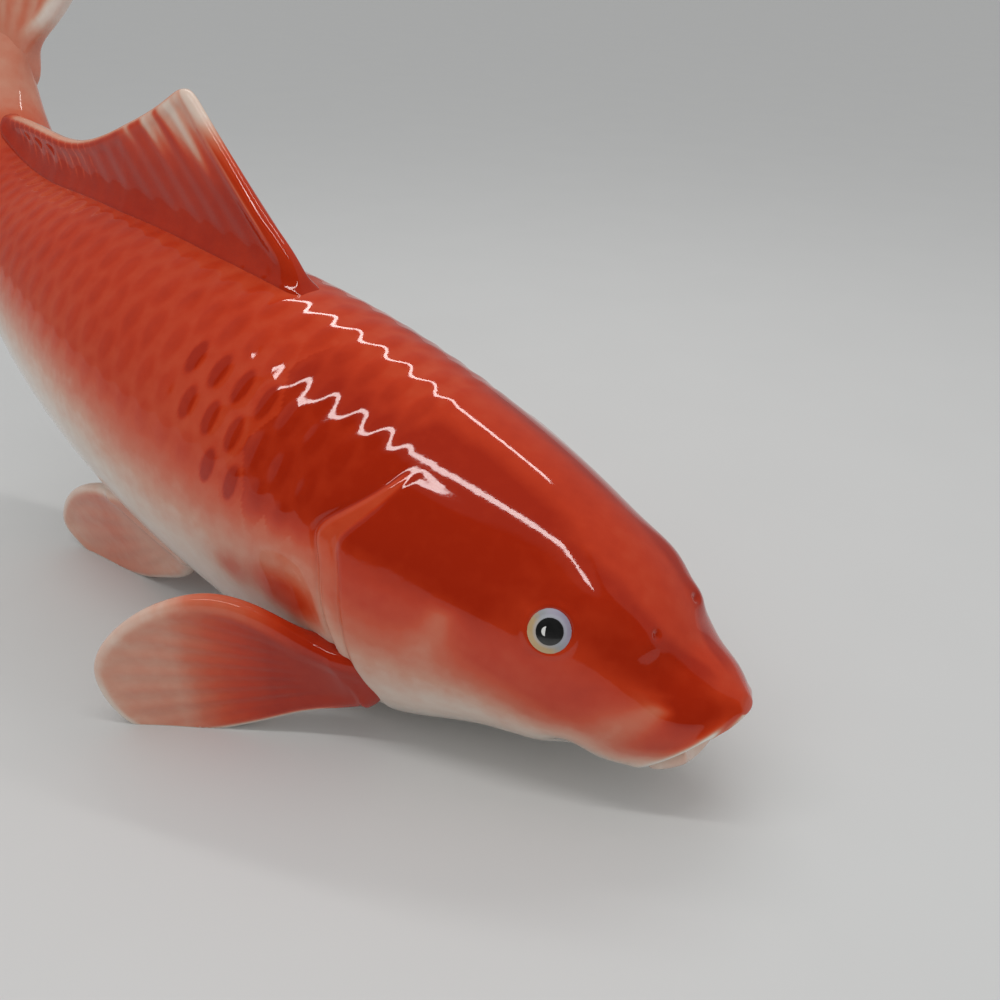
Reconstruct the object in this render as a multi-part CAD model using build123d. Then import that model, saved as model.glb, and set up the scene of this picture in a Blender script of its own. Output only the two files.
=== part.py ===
from build123d import *
import math
import os

# A slip-cast porcelain carp, swimming, with its tail raised and bent to its left. Its head points
# along +X, its left side faces +Y and its back is up. It rests on Z = 0 on a flat foot ground
# under the belly and on the lower edges of its paired fins. The origin is on that surface, at
# the middle of the box around the whole fish. Lengths are in millimetres, angles in degrees.

# Body casting
TRUNK_REACH = 210.5      # snout to tail stump, along X
STUMP_HEIGHT = 109.0     # spine height at the tail stump
TAIL_SWEEP = 20.0        # sideways bend of the spine at the tail stump
TAIL_TWIST_ANGLE = 53.0  # roll of the tail's end, its back to the fish's left
BACK_HEIGHT = 35.2       # largest height of the back over the spine
BELLY_DEPTH = 32.1       # largest depth of the belly under the spine
BODY_HALF_WIDTH = 28.4   # largest half width of the trunk
BODY_WALL = 3.5          # thickness of the cast wall
FOOT_DEPTH = 0.5         # ground off the belly to make the foot
VENT_BORE = 3.0          # firing vent through the foot
OVERRUN = 12.0           # how far a cutting tool runs past what it cuts

# Each row is one section of the body, from the snout to the tail stump. It gives the distance
# back from the snout, the spine height and the sideways bend, then the roll, and then the back,
# belly and half-width sizes, as shares of the seven values named first above, in that order.
SECTION_SHARES = (
    (-0.002, 0.212, 0.000, 0.00, 0.060, 0.036, 0.080),
    (0.014, 0.196, 0.000, 0.00, 0.199, 0.181, 0.278),
    (0.045, 0.184, 0.000, 0.00, 0.321, 0.327, 0.447),
    (0.090, 0.198, 0.000, 0.00, 0.480, 0.492, 0.602),
    (0.145, 0.229, 0.000, 0.00, 0.625, 0.639, 0.743),
    (0.216, 0.258, 0.000, 0.00, 0.773, 0.798, 0.877),
    (0.306, 0.286, 0.000, 0.00, 0.909, 0.997, 0.980),
    (0.420, 0.334, 0.000, 0.00, 1.000, 1.000, 1.000),
    (0.544, 0.396, 0.000, 0.00, 0.977, 0.981, 0.954),
    (0.670, 0.459, 0.050, 0.00, 0.903, 0.875, 0.856),
    (0.796, 0.527, 0.200, 0.00, 0.767, 0.717, 0.708),
    (0.914, 0.633, 0.450, 0.00, 0.571, 0.542, 0.535),
    (0.988, 0.794, 0.750, 0.25, 0.403, 0.417, 0.373),
    (1.009, 0.908, 0.910, 0.65, 0.358, 0.386, 0.265),
    (1.020, 1.000, 0.990, 0.90, 0.350, 0.380, 0.130),
    (1.025, 1.064, 1.030, 1.00, 0.313, 0.343, 0.050),
)
POINTS_PER_SECTION = 12
BACK_ROUNDNESS = 1.05    # exponent of a section's width above the spine
BELLY_ROUNDNESS = 0.85   # exponent of a section's width under the spine
HOLLOW_SECTIONS = range(4, 13)

# Gill covers, raised from the flank at their rear edge and sunk under the skin in front
GILL_RELIEF = 1.5
GILL_SINK = 3.5
# Body sections that the covers follow, with their rise from GILL_SINK below the skin to
# GILL_RELIEF above it
GILL_RISE_SHARES = ((3, 0.0), (4, 0.10), (5, 0.74), (6, 1.0), (7, 1.0), (8, 1.0))
# Rear edge from the throat to the nape, as shares of TRUNK_REACH back from the snout and of
# STUMP_HEIGHT above the foot.
GILL_EDGE_SHARES = ((0.262, 0.010), (0.290, 0.080), (0.299, 0.210), (0.297, 0.320),
                    (0.288, 0.405), (0.269, 0.462), (0.243, 0.490), (0.212, 0.500))
GILL_FRONT_SHARE = 0.160

# Mouth and lower jaw
MOUTH_SLOPE_ANGLE = 39.0   # of the line of the mouth, down and back from the snout
MOUTH_FRONT_HEIGHT = 21.5  # height of that line under the snout tip
JAW_RECESS = 0.6           # lower lip behind the upper lip
JAW_DROP = 0.7             # lower lip below the line of the head
MOUTH_GAP = 1.0            # between the lips
MOUTH_DEPTH = 4.5          # how far the gap runs in behind the lips

# Nostril mounds, each the cap of a ball sunk in the snout
NOSTRIL_PLACE_SHARE = 0.066
NOSTRIL_TURN_SHARE = 0.330
NOSTRIL_RADIUS = 3.6
NOSTRIL_PROUD = 0.9

# Painted eyes
EYE_PLACE_SHARE = 0.126    # back from the snout, of TRUNK_REACH
EYE_TURN_SHARE = 0.403     # round the section from the left side over the back, of a full turn
EYE_RADIUS = 3.65
EYE_SEAT_DEPTH = 1.2
EYE_PROUD = 1.0
PUPIL_RADIUS = 2.2
GLINT_RADIUS = 0.55
GLINT_OFFSET = 0.8
ENAMEL_THICKNESS = 0.35

# Dorsal fin
DORSAL_HEIGHT = 27.0
DORSAL_ROOT_THICKNESS = 4.4
DORSAL_EDGE_THICKNESS = 2.0
DORSAL_ROOT_DEPTH = 6.0
DORSAL_SPINE_RADIUS = 2.3
DORSAL_SPINE_TIP_RADIUS = 1.1
# Free edge from the front of the root over the tip to the rear, as shares of TRUNK_REACH back
# from the snout and of DORSAL_HEIGHT over the back.
DORSAL_EDGE_SHARES = ((0.430, -0.05), (0.443, 0.04), (0.453, 0.14), (0.482, 0.34), (0.521, 0.63),
                      (0.560, 0.93), (0.573, 1.00), (0.598, 0.91), (0.660, 0.61), (0.712, 0.39),
                      (0.765, 0.25), (0.824, 0.23), (0.886, 0.17), (0.925, 0.04))
DORSAL_STATION_SHARES = (0.40, 0.52, 0.64, 0.76, 0.86, 0.94)
# Points of the free edge at the foot and the tip of the thick spine that leads the fin
DORSAL_SPINE_FOOT_POINT = 2
DORSAL_SPINE_TIP_POINT = 5

# Tail fin
TAIL_LENGTH = 48.0         # root to the tip of a lobe
TAIL_SPAN = 78.0           # tip to tip
TAIL_ROOT_THICKNESS = 5.6
TAIL_EDGE_THICKNESS = 2.0
TAIL_BOW = 5.0             # sideways curl of the lobes at their tips
TAIL_SETBACK = 15.0        # root of the fin below the end of the stump
# Outline as shares of TAIL_LENGTH up from the root and of TAIL_SPAN forward of its middle line
TAIL_OUTLINE_SHARES = ((-0.14, 0.10), (-0.07, 0.149), (0.03, 0.170), (0.15, 0.248), (0.275, 0.340),
                       (0.55, 0.455), (0.80, 0.500), (0.93, 0.500), (0.92, 0.430), (0.80, 0.280),
                       (0.67, 0.140), (0.58, 0.000), (0.69, -0.150), (0.84, -0.290),
                       (0.98, -0.420), (1.00, -0.490), (0.86, -0.490), (0.60, -0.440),
                       (0.34, -0.345), (0.16, -0.240), (0.02, -0.170), (-0.14, -0.10))

# Pectoral fins
PECTORAL_PLACE_SHARE = 0.304
PECTORAL_TURN_SHARE = 0.587
PECTORAL_LENGTH = 46.5
PECTORAL_HEIGHT = 33.0
PECTORAL_SPLAY_ANGLE = 32.0   # out from straight back
PECTORAL_LEAN_ANGLE = 10.0    # top edge outward from upright
PECTORAL_ROOT_THICKNESS = 4.8
PECTORAL_EDGE_THICKNESS = 2.0
PECTORAL_BOW = 1.0
# Outlines of the paired fins, as shares of length back from the root and of height above it
PECTORAL_OUTLINE_SHARES = ((-0.14, -0.14), (0.14, -0.310), (0.33, -0.410), (0.56, -0.520),
                           (0.86, -0.540), (0.975, -0.300), (0.985, -0.050), (0.85, 0.250),
                           (0.63, 0.450), (0.48, 0.490), (0.30, 0.400), (0.09, 0.210),
                           (-0.14, 0.06))

# Pelvic fins
PELVIC_PLACE_SHARE = 0.592
PELVIC_TURN_SHARE = 0.681
PELVIC_LENGTH = 42.0
PELVIC_HEIGHT = 26.0
PELVIC_SPLAY_ANGLE = 0.0
PELVIC_LEAN_ANGLE = 12.0
PELVIC_ROOT_THICKNESS = 4.2
PELVIC_EDGE_THICKNESS = 2.0
PELVIC_BOW = 0.5
PELVIC_OUTLINE_SHARES = ((-0.20, 0.10), (-0.07, -0.330), (0.14, -0.510), (0.34, -0.635),
                         (0.59, -0.715), (0.78, -0.740), (0.92, -0.615), (1.00, -0.440),
                         (0.95, -0.220), (0.80, 0.040), (0.60, 0.225), (0.36, 0.330),
                         (0.10, 0.400))

# Anal fin
ANAL_PLACE_SHARE = 0.880
ANAL_LENGTH = 24.0
ANAL_HEIGHT = 14.0
ANAL_ROOT_THICKNESS = 3.4
ANAL_EDGE_THICKNESS = 1.8
ANAL_OUTLINE_SHARES = ((-0.45, -0.30), (-0.35, 0.10), (-0.05, 0.600), (0.25, 0.980),
                       (0.42, 0.920), (0.44, 0.500), (0.52, 0.150), (0.55, -0.30))

BLADE_STATION_SHARES = (-0.4, 0.1, 0.6, 1.2)
MIRROR_SIDE = {"right": False, "left": True}


def mix(start, end, share):
    return start + (end - start) * share


def section_planes(drop):
    """Planes across the spine when it is lowered by drop, local X to the left and Y to the back."""
    centres = []
    for back, height, bend, *others in SECTION_SHARES:
        centres.append(Vector(-back * TRUNK_REACH, bend * TAIL_SWEEP, height * STUMP_HEIGHT - drop))
    planes = []
    for index, row in enumerate(SECTION_SHARES):
        before = centres[max(index - 1, 0)]
        after = centres[min(index + 1, len(centres) - 1)]
        to_head = (before - after).normalized()
        to_left = Vector(0, 0, 1).cross(to_head).normalized()
        to_back = to_head.cross(to_left)
        roll = math.radians(row[3] * TAIL_TWIST_ANGLE)
        rolled_left = to_left * math.cos(roll) - to_back * math.sin(roll)
        planes.append(Plane(origin=centres[index], x_dir=rolled_left, z_dir=to_head))
    return planes


def lowest_of_belly(planes):
    """Lowest of the points where the sections cross the line of the belly."""
    belly = []
    for plane, row in zip(planes, SECTION_SHARES):
        belly.append(plane.from_local_coords((0, -row[5] * BELLY_DEPTH)))
    return min(belly, key=lambda point: point.Z)


# The spine is lowered until the lowest of the belly lies FOOT_DEPTH under the resting surface
SPINE_DROP = lowest_of_belly(section_planes(0)).Z + FOOT_DEPTH
PLANES = section_planes(SPINE_DROP)


def section_wire(index, swell, first_step):
    """Closed outline of one section, swollen or, where swell is negative, shrunk all round."""
    back_share, belly_share, width_share = SECTION_SHARES[index][4:]
    plane = PLANES[index]
    points = []
    for step in range(first_step, first_step + POINTS_PER_SECTION):
        turn = 2 * math.pi * step / POINTS_PER_SECTION
        above = math.sin(turn) > 0
        depth = back_share * BACK_HEIGHT if above else belly_share * BELLY_DEPTH
        roundness = BACK_ROUNDNESS if above else BELLY_ROUNDNESS
        reach = math.copysign(abs(math.cos(turn)) ** roundness, math.cos(turn))
        across = (width_share * BODY_HALF_WIDTH + swell) * reach
        points.append(plane.from_local_coords((across, (depth + swell) * math.sin(turn))))
    return Wire([Spline(*points, periodic=True)])


def body_loft(swells, first_step=0):
    """Solid through the sections of a list of (section, swell) pairs."""
    return Solid.make_loft([section_wire(index, swell, first_step) for index, swell in swells])


def stretch_at(place_share):
    """Section at the front of the stretch that holds a place, and its run to the next one."""
    passed = sum(row[0] <= place_share for row in SECTION_SHARES)
    index = min(len(SECTION_SHARES) - 2, max(0, passed - 1))
    return index, PLANES[index + 1].origin - PLANES[index].origin


def spine_point(place_share):
    index, run = stretch_at(place_share)
    start, end = SECTION_SHARES[index][0], SECTION_SHARES[index + 1][0]
    return PLANES[index].origin + run * ((place_share - start) / (end - start))


def skin_seat(skin, place_share, turn_share):
    """Plane on the skin: its origin where a ray from the spine leaves, its local Z outward."""
    turn = 2 * math.pi * turn_share
    centre = spine_point(place_share)
    outward = Vector(0, math.cos(turn), math.sin(turn))
    hits = skin.find_intersection_points(Axis(centre, outward))
    ahead = [hit for hit in hits if (hit[0] - centre).dot(outward) > 0]
    point, normal = max(ahead, key=lambda hit: (hit[0] - centre).dot(outward))
    if normal.dot(outward) < 0:
        normal = normal * -1
    return Plane(origin=point, x_dir=(1, 0, 0), z_dir=normal)


def top_of_back(skin, place_share):
    centre = spine_point(place_share)
    hits = skin.find_intersection_points(Axis(centre, Vector(0, 0, 1)))
    return max(point.Z for point, normal in hits)


def below_floor(solid):
    """Everything under the surface that the fish rests on, to cut flat feet."""
    box = solid.bounding_box()
    cutter = Box(box.size.X + OVERRUN, box.size.Y + OVERRUN, box.size.Z + OVERRUN,
                 align=(Align.CENTER, Align.CENTER, Align.MAX))
    return Pos(box.center().X, box.center().Y, 0) * cutter


def side_view_face(curve_points, closing_lines):
    """Face in the XZ plane, bounded by a curve through points and by straight lines."""
    side_view = Plane(origin=(0, 0, 0), x_dir=(1, 0, 0), z_dir=(0, -1, 0))
    return side_view * make_face(Spline(*curve_points).edges() + closing_lines.edges())


def blade(plane, outline_shares, length, height, root_thickness, edge_thickness, bow):
    """Fin with its root at the plane's origin, its length along local X and its face in XY."""
    outline = Spline(*[(u * length, v * height) for u, v in outline_shares], periodic=True)
    prism = extrude(make_face(outline), amount=length, both=True)
    stations = []
    for share in BLADE_STATION_SHARES:
        thickness = mix(root_thickness, edge_thickness, min(1.0, max(0.0, share)))
        bend = bow * share * abs(share)
        station = Plane(origin=(share * length, 0, bend), x_dir=(0, 1, 0), z_dir=(1, 0, 0))
        stations.append(station * Rectangle(4 * height, thickness))
    return plane * (prism & loft(stations))


def paired_fin_plane(seat, splay_angle, lean_angle):
    """Plane of a right-hand fin: local X back and outward, local Y up, Z inward to the body."""
    splay = math.radians(splay_angle)
    lean = math.radians(lean_angle)
    back = Vector(-math.cos(splay), -math.sin(splay), 0)
    outward = Vector(0, 0, 1).cross(back)
    upward = Vector(0, 0, 1) * math.cos(lean) + outward * math.sin(lean)
    return Plane(origin=seat.origin, x_dir=back, z_dir=back.cross(upward))


# Outer form of the body, before its pieces are seated on it
def trunk_form():
    return body_loft([(index, 0.0) for index in range(len(SECTION_SHARES))])


def gill_covers():
    swells = [(index, mix(-GILL_SINK, GILL_RELIEF, share)) for index, share in GILL_RISE_SHARES]
    swollen = body_loft(swells, POINTS_PER_SECTION // 4)
    edge = [(-back * TRUNK_REACH, height * STUMP_HEIGHT) for back, height in GILL_EDGE_SHARES]
    front = -GILL_FRONT_SHARE * TRUNK_REACH
    limits = Polyline(edge[-1], (front, edge[-1][1]), (front, edge[0][1]), edge[0])
    window = extrude(side_view_face(edge, limits), amount=BODY_HALF_WIDTH + OVERRUN, both=True)
    return swollen & window


def nostrils(form):
    seat = skin_seat(form, NOSTRIL_PLACE_SHARE, NOSTRIL_TURN_SHARE)
    mound = seat * Pos(0, 0, NOSTRIL_PROUD - NOSTRIL_RADIUS) * Sphere(NOSTRIL_RADIUS)
    return mound + mirror(mound, about=Plane.XZ)


def mouth_plane():
    slope = math.radians(MOUTH_SLOPE_ANGLE)
    forward = Vector(math.cos(slope), 0, math.sin(slope))
    normal = Vector(-math.sin(slope), 0, math.cos(slope))
    return Plane(origin=(0, 0, MOUTH_FRONT_HEIGHT), x_dir=forward, z_dir=normal)


def with_mouth(form):
    """The form with its lower jaw set back behind the upper lip and a gap between the lips."""
    line = mouth_plane()
    reach = 2 * (BODY_HALF_WIDTH + OVERRUN)
    under = line * Box(reach, reach, reach, align=(Align.CENTER, Align.CENTER, Align.MAX))
    jaw = (Pos(-JAW_RECESS, 0, -JAW_DROP) * form) & under
    gap = (line * Box(reach, reach, MOUTH_GAP)) - Pos(-MOUTH_DEPTH, 0, 0) * form
    return (form - under) + jaw - gap


def hollow():
    return body_loft([(index, -BODY_WALL) for index in HOLLOW_SECTIONS])


def vent():
    foot = lowest_of_belly(PLANES)
    return Pos(foot.X, foot.Y, 0) * Cylinder(VENT_BORE / 2, 2 * OVERRUN)


def dome_on(seat, lift):
    """Ball whose cap stands over the eye's seat, raised by lift."""
    ball_radius = (EYE_RADIUS ** 2 + EYE_PROUD ** 2) / (2 * EYE_PROUD)
    return seat * Pos(0, 0, EYE_PROUD - ball_radius) * Sphere(ball_radius + lift)


def eye_pieces(seat):
    """Right-hand iris, pupil and glint, each seated on the one under it."""
    half = EYE_PROUD + EYE_SEAT_DEPTH
    socket = seat * Pos(0, 0, half - EYE_SEAT_DEPTH) * Cylinder(EYE_RADIUS, 2 * half)
    pupil_rod = seat * Pos(0, 0, half) * Cylinder(PUPIL_RADIUS, 2 * half)
    glint_rod = seat * Pos(GLINT_OFFSET, -GLINT_OFFSET, half) * Cylinder(GLINT_RADIUS, 2 * half)
    iris_dome, pupil_dome, glint_dome = [dome_on(seat, coats * ENAMEL_THICKNESS) for coats in range(3)]
    return {"eye_iris": socket & iris_dome,
            "eye_pupil": (pupil_rod & pupil_dome) - iris_dome,
            "eye_glint": (glint_rod & glint_dome) - pupil_dome}


def dorsal_web(edge, skin):
    """Web of the dorsal fin inside its free edge, thin above and thick in the back."""
    (front_x, front_z), (rear_x, rear_z) = edge[0], edge[-1]
    root = Polyline((rear_x, rear_z), (rear_x, rear_z - DORSAL_ROOT_DEPTH),
                    (front_x, front_z - DORSAL_ROOT_DEPTH), (front_x, front_z))
    prism = extrude(side_view_face(edge, root), amount=BODY_HALF_WIDTH + TAIL_SWEEP, both=True)
    low, high = DORSAL_ROOT_THICKNESS / 2, DORSAL_EDGE_THICKNESS / 2
    rise = DORSAL_ROOT_DEPTH + 2 * DORSAL_HEIGHT
    profile = Polyline((-low, 0), (low, 0), (high, rise), (-high, rise), close=True)
    stations = []
    for place in DORSAL_STATION_SHARES:
        centre = spine_point(place)
        base = top_of_back(skin, place) - DORSAL_ROOT_DEPTH
        station = Plane(origin=(centre.X, centre.Y, base), x_dir=(0, 1, 0), z_dir=(1, 0, 0))
        stations.append(station * make_face(profile))
    return prism & loft(stations)


def dorsal_fin(skin):
    edge = []
    for place, rise in DORSAL_EDGE_SHARES:
        edge.append((-place * TRUNK_REACH, top_of_back(skin, place) + rise * DORSAL_HEIGHT))
    foot_x, foot_z = edge[DORSAL_SPINE_FOOT_POINT]
    tip_x, tip_z = edge[DORSAL_SPINE_TIP_POINT]
    foot = Vector(foot_x - DORSAL_SPINE_RADIUS, 0, foot_z - DORSAL_ROOT_DEPTH)
    tip = Vector(tip_x - DORSAL_SPINE_TIP_RADIUS, 0, tip_z - DORSAL_SPINE_TIP_RADIUS)
    run = tip - foot
    cone = Cone(DORSAL_SPINE_RADIUS, DORSAL_SPINE_TIP_RADIUS, run.length)
    spine = Plane(origin=(foot + tip) * 0.5, z_dir=run) * cone
    return (dorsal_web(edge, skin) + spine) - skin


def tail_fin(skin):
    stump_end = PLANES[-1]
    root = stump_end.origin + stump_end.z_dir * TAIL_SETBACK
    plane = Plane(origin=root, x_dir=stump_end.z_dir * -1, z_dir=stump_end.x_dir)
    return blade(plane, TAIL_OUTLINE_SHARES, TAIL_LENGTH, TAIL_SPAN,
                 TAIL_ROOT_THICKNESS, TAIL_EDGE_THICKNESS, -TAIL_BOW) - skin


def anal_fin(skin):
    along = stretch_at(ANAL_PLACE_SHARE)[1].normalized()
    to_left = along.cross(Vector(0, 0, 1)).normalized()
    down = along.cross(to_left)
    centre = spine_point(ANAL_PLACE_SHARE)
    hits = skin.find_intersection_points(Axis(centre, down))
    point = max((hit[0] for hit in hits), key=lambda spot: (spot - centre).dot(down))
    plane = Plane(origin=point, x_dir=along, z_dir=along.cross(down))
    return blade(plane, ANAL_OUTLINE_SHARES, ANAL_LENGTH, ANAL_HEIGHT,
                 ANAL_ROOT_THICKNESS, ANAL_EDGE_THICKNESS, 0) - skin


def pectoral_fin(trunk):
    seat = skin_seat(trunk, PECTORAL_PLACE_SHARE, PECTORAL_TURN_SHARE)
    plane = paired_fin_plane(seat, PECTORAL_SPLAY_ANGLE, PECTORAL_LEAN_ANGLE)
    return blade(plane, PECTORAL_OUTLINE_SHARES, PECTORAL_LENGTH, PECTORAL_HEIGHT,
                 PECTORAL_ROOT_THICKNESS, PECTORAL_EDGE_THICKNESS, -PECTORAL_BOW)


def pelvic_fin(trunk):
    seat = skin_seat(trunk, PELVIC_PLACE_SHARE, PELVIC_TURN_SHARE)
    plane = paired_fin_plane(seat, PELVIC_SPLAY_ANGLE, PELVIC_LEAN_ANGLE)
    return blade(plane, PELVIC_OUTLINE_SHARES, PELVIC_LENGTH, PELVIC_HEIGHT,
                 PELVIC_ROOT_THICKNESS, PELVIC_EDGE_THICKNESS, -PELVIC_BOW)


def build_pieces():
    trunk = trunk_form()
    skin = with_mouth(trunk) + gill_covers() + nostrils(trunk)
    skin = skin - below_floor(skin)
    eyes = eye_pieces(skin_seat(trunk, EYE_PLACE_SHARE, EYE_TURN_SHARE))
    fins = {"pectoral_fin": pectoral_fin(trunk), "pelvic_fin": pelvic_fin(trunk)}
    pieces = {}
    shell = skin - hollow() - vent()
    for side, mirrored in MIRROR_SIDE.items():
        for name, shape in (eyes | fins).items():
            piece = mirror(shape, about=Plane.XZ) if mirrored else shape
            if name in fins:
                piece = piece - skin - below_floor(piece)
            pieces[name + "_" + side] = piece
        shell = shell - pieces["eye_iris_" + side]
    pieces["body_shell"] = shell
    pieces["dorsal_fin"] = dorsal_fin(skin)
    pieces["tail_fin"] = tail_fin(skin)
    pieces["anal_fin"] = anal_fin(skin)
    return pieces


def stand_on_origin(pieces):
    """Move all the pieces so that the box around them has its bottom middle at the origin."""
    box = Compound(children=[Compound(list(piece.solids())) for piece in pieces.values()]).bounding_box()
    shift = Pos(-box.center().X, -box.center().Y, 0)
    return {name: shift * piece for name, piece in pieces.items()}


os.makedirs("parts", exist_ok=True)
placed = stand_on_origin(build_pieces())
for node, piece in placed.items():
    solids = piece.solids()
    body = solids[0] if len(solids) == 1 else Compound(list(solids))
    body.label = node
    export_step(body, "parts/" + node + ".step")
    low, high = body.bounding_box().min, body.bounding_box().max
    print(node, len(solids), round(body.volume, 1), [round(v, 1) for v in (*low, *high)])
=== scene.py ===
import math

import bpy
import numpy as np
from mathutils import Matrix, Vector, geometry
from mathutils.bvhtree import BVHTree


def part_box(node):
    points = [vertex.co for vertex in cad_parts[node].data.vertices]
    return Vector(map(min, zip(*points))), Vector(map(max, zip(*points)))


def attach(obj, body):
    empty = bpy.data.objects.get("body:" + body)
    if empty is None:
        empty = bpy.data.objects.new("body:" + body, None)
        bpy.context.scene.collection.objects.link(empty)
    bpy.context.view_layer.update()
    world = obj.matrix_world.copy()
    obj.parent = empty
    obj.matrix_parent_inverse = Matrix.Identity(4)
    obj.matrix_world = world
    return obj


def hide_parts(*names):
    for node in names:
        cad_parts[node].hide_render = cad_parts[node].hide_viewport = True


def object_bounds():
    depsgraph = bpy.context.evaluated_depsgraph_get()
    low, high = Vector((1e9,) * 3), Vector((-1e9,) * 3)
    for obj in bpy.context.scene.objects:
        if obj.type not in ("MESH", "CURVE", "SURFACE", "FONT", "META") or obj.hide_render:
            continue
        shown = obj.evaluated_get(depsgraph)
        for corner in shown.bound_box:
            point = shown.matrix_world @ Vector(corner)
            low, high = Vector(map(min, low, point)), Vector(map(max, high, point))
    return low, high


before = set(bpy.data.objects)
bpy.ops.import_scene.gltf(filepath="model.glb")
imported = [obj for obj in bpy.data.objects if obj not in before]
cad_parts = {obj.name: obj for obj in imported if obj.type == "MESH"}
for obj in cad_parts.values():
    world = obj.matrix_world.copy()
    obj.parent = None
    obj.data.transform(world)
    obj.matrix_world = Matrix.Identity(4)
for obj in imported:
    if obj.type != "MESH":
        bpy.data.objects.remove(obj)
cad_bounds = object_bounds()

# Lengths are in millimetres up to where a mesh is made
MM = 0.001

# Sizes of the fish, as in the part's source
TRUNK_REACH = 210.5
STUMP_HEIGHT = 109.0
TAIL_SWEEP = 20.0
TAIL_TWIST_ANGLE = 53.0
BACK_HEIGHT = 35.2
BELLY_DEPTH = 32.1
BODY_HALF_WIDTH = 28.4
FOOT_DEPTH = 0.5
VENT_BORE = 3.0
VENT_X = 57.8
VENT_DEPTH = 3.0

# Body sections: place back, spine height, bend, roll, back, belly and width shares
SECTION_SHARES = np.array((
    (-0.002, 0.212, 0.000, 0.00, 0.060, 0.036, 0.080),
    (0.014, 0.196, 0.000, 0.00, 0.199, 0.181, 0.278),
    (0.045, 0.184, 0.000, 0.00, 0.321, 0.327, 0.447),
    (0.090, 0.198, 0.000, 0.00, 0.480, 0.492, 0.602),
    (0.145, 0.229, 0.000, 0.00, 0.625, 0.639, 0.743),
    (0.216, 0.258, 0.000, 0.00, 0.773, 0.798, 0.877),
    (0.306, 0.286, 0.000, 0.00, 0.909, 0.997, 0.980),
    (0.420, 0.334, 0.000, 0.00, 1.000, 1.000, 1.000),
    (0.544, 0.396, 0.000, 0.00, 0.977, 0.981, 0.954),
    (0.670, 0.459, 0.050, 0.00, 0.903, 0.875, 0.856),
    (0.796, 0.527, 0.200, 0.00, 0.767, 0.717, 0.708),
    (0.914, 0.633, 0.450, 0.00, 0.571, 0.542, 0.535),
    (0.988, 0.794, 0.750, 0.25, 0.403, 0.417, 0.373),
    (1.009, 0.908, 0.910, 0.65, 0.358, 0.386, 0.265),
    (1.020, 1.000, 0.990, 0.90, 0.350, 0.380, 0.130),
    (1.025, 1.064, 1.030, 1.00, 0.313, 0.343, 0.050),
))
CORNERS = 12
BACK_ROUNDNESS = 1.05
BELLY_ROUNDNESS = 0.85

# Where the snout's place 0 lies: the box's front is at the first section
SNOUT_X = cad_bounds[1][0] / MM + SECTION_SHARES[0, 0] * TRUNK_REACH


# Small mathematics

def unit(vectors):
    return vectors / np.linalg.norm(vectors, axis=-1, keepdims=True)


def ease(value, low, high):
    """0 under low, 1 over high, smooth between."""
    share = np.clip((value - low) / (high - low), 0, 1)
    return share * share * (3 - 2 * share)


def mix(start, end, share):
    return start + (end - start) * share


def spline_weights(knots, places, period=None):
    """Matrix that turns values at the knots into a smooth cubic spline's values at places."""
    knots = np.asarray(knots, float)
    count = len(knots)
    following = np.append(knots[1:], knots[0] + period) if period else knots[1:]
    gaps = following - knots[:len(following)]
    bend, slope = np.eye(count), np.zeros((count, count))
    inner = range(count) if period else range(1, count - 1)
    for i in inner:
        before, after = (i - 1) % count, (i + 1) % count
        left, right = gaps[before], gaps[i]
        bend[i] = 0
        bend[i, before] += left
        bend[i, i] += 2 * (left + right)
        bend[i, after] += right
        slope[i, before] += 6 / left
        slope[i, i] -= 6 / left + 6 / right
        slope[i, after] += 6 / right
    curvature = np.linalg.solve(bend, slope)
    places = np.asarray(places, float)
    if period:
        places = knots[0] + np.mod(places - knots[0], period)
    cell = np.clip(np.searchsorted(knots, places, side="right") - 1, 0, len(gaps) - 1)
    after = (cell + 1) % count
    gap = gaps[cell]
    b = (places - knots[cell]) / gap
    a = 1 - b
    identity = np.eye(count)
    weights = a[:, None] * identity[cell] + b[:, None] * identity[after]
    weights += ((a ** 3 - a) * gap ** 2 / 6)[:, None] * curvature[cell]
    weights += ((b ** 3 - b) * gap ** 2 / 6)[:, None] * curvature[after]
    return weights


def through(pairs, places):
    """Smooth curve through (place, value) pairs, level beyond the ends."""
    knots, values = np.array(pairs, float).T
    places = np.asarray(places, float)
    flat = np.clip(places.ravel(), knots[0], knots[-1])
    return (spline_weights(knots, flat) @ values).reshape(places.shape)


def run_lengths(points):
    """Distance along a polyline at each of its points."""
    return np.concatenate(([0], np.cumsum(np.linalg.norm(np.diff(points, axis=0), axis=1))))


def even_loop(curve, count):
    """Evenly spaced points on a closed polyline."""
    closed = np.vstack((curve, curve[:1]))
    run = run_lengths(closed)
    even = np.linspace(0, run[-1], count, endpoint=False)
    return np.stack([np.interp(even, run, closed[:, k]) for k in (0, 1)], axis=1)


def waves(points, seed, size, octaves=3):
    """Smooth pseudo-random field in about -1..1, made of a few sine waves of about that size."""
    rng = np.random.default_rng(seed)
    total = np.zeros(points.shape[:-1])
    weight_sum = 0
    for octave in range(octaves):
        for _ in range(5):
            direction = unit(rng.normal(size=3))
            rate = 2 * np.pi / (size * rng.uniform(0.8, 1.4) / 2 ** octave)
            total += np.sin(points @ direction * rate + rng.uniform(0, 6.28)) / 2 ** octave
        weight_sum += 2.2 / 2 ** octave
    return total / weight_sum


# The skin of the body

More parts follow.
